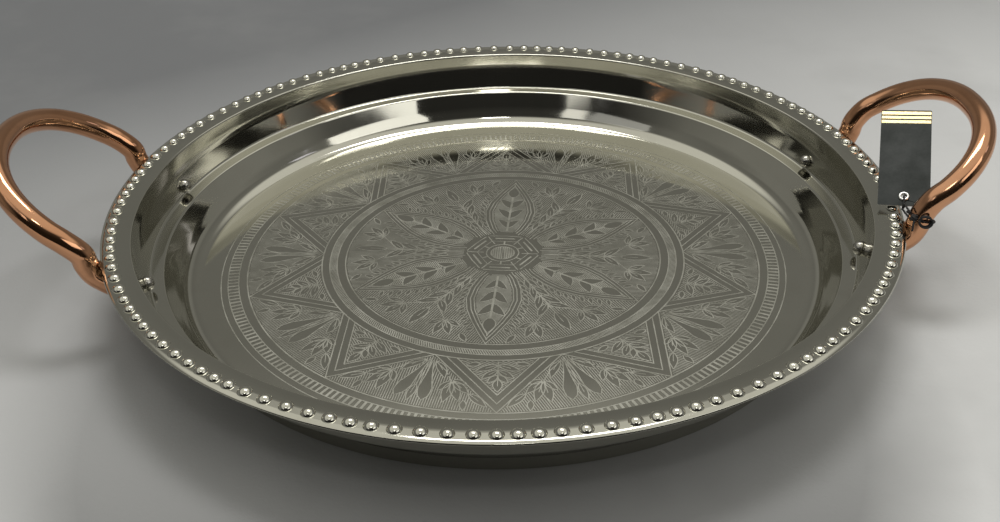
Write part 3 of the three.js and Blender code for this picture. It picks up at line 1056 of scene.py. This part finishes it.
def wall_radius(z):
    """Radius of the tray's upper wall, on its inner face, at a height."""
    for (r0, z0), (r1, z1) in zip(UPPER_WALL[:-1], UPPER_WALL[1:]):
        if z0 <= z <= z1 and z1 > z0:
            return r0 + (r1 - r0) * (z - z0) / (z1 - z0)
    return UPPER_WALL[0][0]


def handle_screw(node, handle, end):
    """A domed screw head whose back follows the wall, with its shank."""
    shape = Shape()
    place = fixing_basis(handle, end, SCREW_HEAD_SEAT)
    head = [(0, -3.6), (0.7, -3.55), (1.4, -3.38), (2.05, -3.06), (2.6, -2.62), (3.05, -2.05), (3.35, -1.4),
            (3.52, -0.8), (3.58, -0.3), (3.6, 3), (0, 3)]
    add_lathe(shape, [(r * MM, z * MM) for r, z in head], 48, place)
    for v in shape.verts:
        reach = math.hypot(v.x, v.y)
        limit = wall_radius(v.z) - WALL_CLEARANCE
        if reach > limit:
            v.x *= limit / reach
            v.y *= limit / reach
    shank = [(0, -1), (2, -1), (2, 10.9), (0, 10.9)]
    add_lathe(shape, [(r * MM, z * MM) for r, z in shank], 24, place)
    screw = shape.build(node + "_domed", [STEEL])
    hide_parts(node)
    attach(screw, "tray")


for handle_name, handle_facts in HANDLES.items():
    handle_tube(handle_name, handle_facts)
    for end, word in ((1, "rear"), (-1, "front")):
        fixing = handle_name.replace("handle", word)
        handle_screw("handle_screw_" + fixing, handle_facts, end)
        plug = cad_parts["handle_plug_" + fixing]
        plug.data.materials.clear()
        plug.data.materials.append(BRASS)


# ---------------------------------------------------------------- hang tag
def tag_card():
    shape = Shape()
    half = CARD_WIDTH / 2
    corner = 0.8 * MM
    outline = []
    for cx, cy, first in ((half - corner, corner, -90), (half - corner, CARD_LENGTH - corner, 0),
                          (-half + corner, CARD_LENGTH - corner, 90), (-half + corner, corner, 180)):
        for k in range(5):
            a = math.radians(first + 22.5 * k)
            outline.append((cx + corner * math.cos(a), cy + corner * math.sin(a)))
    hole = [(EYELET_HOLE_RADIUS * math.cos(math.pi * k / 10),
             EYELET_DISTANCE + EYELET_HOLE_RADIUS * math.sin(math.pi * k / 10))
            for k in range(20)]
    thick = CARD_THICKNESS / 2
    n = len(outline)
    m = len(hole)

    def heading(i):
        return math.atan2(outline[i][1] - EYELET_DISTANCE, outline[i][0]) % (2 * math.pi)

    order = sorted(range(n), key=heading)
    for side in (1, -1):
        verts = [card_point(x, y, side * thick) for x, y in outline + hole]
        # fan the plate between the outline and the hole by nearest direction
        faces = []
        h = 0
        for a, b in zip(order, order[1:] + order[:1]):
            angle_b = heading(b) + (2 * math.pi if b == order[0] else 0)
            faces.append((a, b, n + h % m))
            while h < m and 2 * math.pi * (h + 0.5) / m < angle_b:
                faces.append((b, n + (h + 1) % m, n + h % m))
                h += 1
        while h < m:
            faces.append((order[0], n + (h + 1) % m, n + h % m))
            h += 1
        if side < 0:
            faces = [tuple(reversed(f)) for f in faces]
        shape.add(verts, faces)
    for ring, flip in ((outline, 1), (hole, -1)):
        verts = [card_point(x, y, thick) for x, y in ring] + [card_point(x, y, -thick) for x, y in ring]
        n = len(ring)
        faces = []
        for k in range(n):
            face = (k, k + n, (k + 1) % n + n, (k + 1) % n)
            faces.append(face if flip > 0 else tuple(reversed(face)))
        shape.add(verts, faces, 1)
    card = shape.build("tag_card_printed", [CARD, BOARD], smooth=False)
    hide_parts("tag_card")
    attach(card, "hang_tag")

    foil = Shape()
    face = thick + 0.03 * MM

    def band(low, high):
        edge = half - 0.3 * MM
        corners = [(-edge, low), (edge, low), (edge, high), (-edge, high)]
        foil.add([card_point(x, y, face) for x, y in corners], [(0, 1, 2, 3)])

    for low, high in ((50.4, 52.2), (53.2, 54.8), (55.8, 57.7)):
        band(low * MM, high * MM)
    printed = foil.build("tag_foil_print", [FOIL], smooth=False)
    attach(printed, "hang_tag")

    eye = Shape()
    flare = [(1.62, 0.56), (2.6, 0.62), (2.55, 0.85), (2.2, 1.1), (1.7, 1.12), (1.35, 0.95)]
    profile = [(r, -z) for r, z in reversed(flare)] + flare + [(1.3, 0), (1.35, -0.95)]
    place = basis(card_point(0, EYELET_DISTANCE, 0), CARD_ACROSS, CARD_ALONG, CARD_NORMAL)
    add_lathe(eye, [(r * MM, z * MM) for r, z in profile], 40, place)
    ring = eye.build("tag_eyelet_ring", [EYELET])
    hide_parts("tag_eyelet")
    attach(ring, "hang_tag")


tag_card()


# ---------------------------------------------------------------- stage: cloth, sky and lamps
def stage():
    shape = Shape()
    size = 4.0
    count = 160
    verts = []
    for j in range(count + 1):
        for i in range(count + 1):
            x = size * (i / count - 0.5)
            y = size * (j / count - 0.5)
            verts.append(Vector((x, y, 0)))
    row = count + 1
    faces = [(j * row + i, j * row + i + 1, (j + 1) * row + i + 1, (j + 1) * row + i)
             for j in range(count) for i in range(count)]
    shape.add(verts, faces)
    shape.build("cloth_floor", [CLOTH])

    world = bpy.data.worlds.new("studio")
    world.use_nodes = True
    bpy.context.scene.world = world
    nodes, links = world.node_tree.nodes, world.node_tree.links
    place = nodes.new("ShaderNodeTexCoord")
    split = nodes.new("ShaderNodeSeparateXYZ")
    links.new(place.outputs["Generated"], split.inputs["Vector"])

    def by_height(stops):
        """A grey level for each height above the horizon (the sine of the elevation)."""
        ramp = nodes.new("ShaderNodeValToRGB")
        links.new(split.outputs["Z"], ramp.inputs["Fac"])
        elements = ramp.color_ramp.elements
        while len(elements) < len(stops):
            elements.new(0.5)
        for element, (position, level) in zip(elements, stops):
            element.position = position
            element.color = (level, level * 0.985, level * 0.9, 1)
        return ramp.outputs["Color"]

    ahead = by_height([(0.0, 0.22), (0.3, 0.25), (0.42, 0.18), (0.61, 0.21), (0.7, 0.8), (1.0, 0.8)])
    behind = by_height([(0.0, 0.015), (0.5, 0.02), (0.76, 0.06), (0.86, 0.7), (1.0, 0.8)])
    turned = nodes.new("ShaderNodeMapRange")
    links.new(split.outputs["Y"], turned.inputs["Value"])
    for key, number in (("From Min", -0.2), ("From Max", -0.6), ("To Min", 0), ("To Max", 1)):
        turned.inputs[key].default_value = number
    blend = nodes.new("ShaderNodeMix")
    blend.data_type = "RGBA"
    links.new(turned.outputs["Result"], blend.inputs[0])
    links.new(ahead, blend.inputs[6])
    links.new(behind, blend.inputs[7])
    links.new(blend.outputs[2], nodes["Background"].inputs["Color"])

    def softbox(name, azimuths, elevations, radiance, color=(1, 1, 1), distance=3.0):
        """A rectangular lamp filling those compass angles and elevations, in degrees; 0 is ahead, +Y."""
        azimuth = math.radians(sum(azimuths) / 2)
        elevation = math.radians(sum(elevations) / 2)
        half_wide = math.radians(azimuths[1] - azimuths[0]) / 2 * math.cos(elevation)
        half_high = math.radians(elevations[1] - elevations[0]) / 2
        data = bpy.data.lights.new(name, "AREA")
        data.shape = "RECTANGLE"
        data.size = 2 * distance * math.tan(half_wide)
        data.size_y = 2 * distance * math.tan(half_high)
        data.energy = radiance * math.pi * data.size * data.size_y
        data.color = color
        lamp = link(bpy.data.objects.new(name, data))
        lamp.location = distance * Vector((
            math.sin(azimuth) * math.cos(elevation),
            math.cos(azimuth) * math.cos(elevation),
            math.sin(elevation),
        ))
        lamp.rotation_euler = (-lamp.location).to_track_quat("-Z", "Y").to_euler()

    softbox("overhead", (-25, 45), (63, 76), 9, (1, 0.99, 0.97))
    softbox("panel_right", (107, 150), (31, 46), 1.5, (1, 0.99, 0.95))
    softbox("panel_side", (88, 98), (30, 38), 0.8, (0.88, 0.86, 1))
    softbox("panel_left", (-150, -140), (33, 45), 1.2, (1, 0.99, 0.95))
    softbox("panel_grey", (-138, -112), (33, 45), 0.4)
    softbox("strip", (173, 187), (57, 61), 10, (1, 0.99, 0.96))
    bpy.context.scene.view_settings.view_transform = "Standard"


stage()
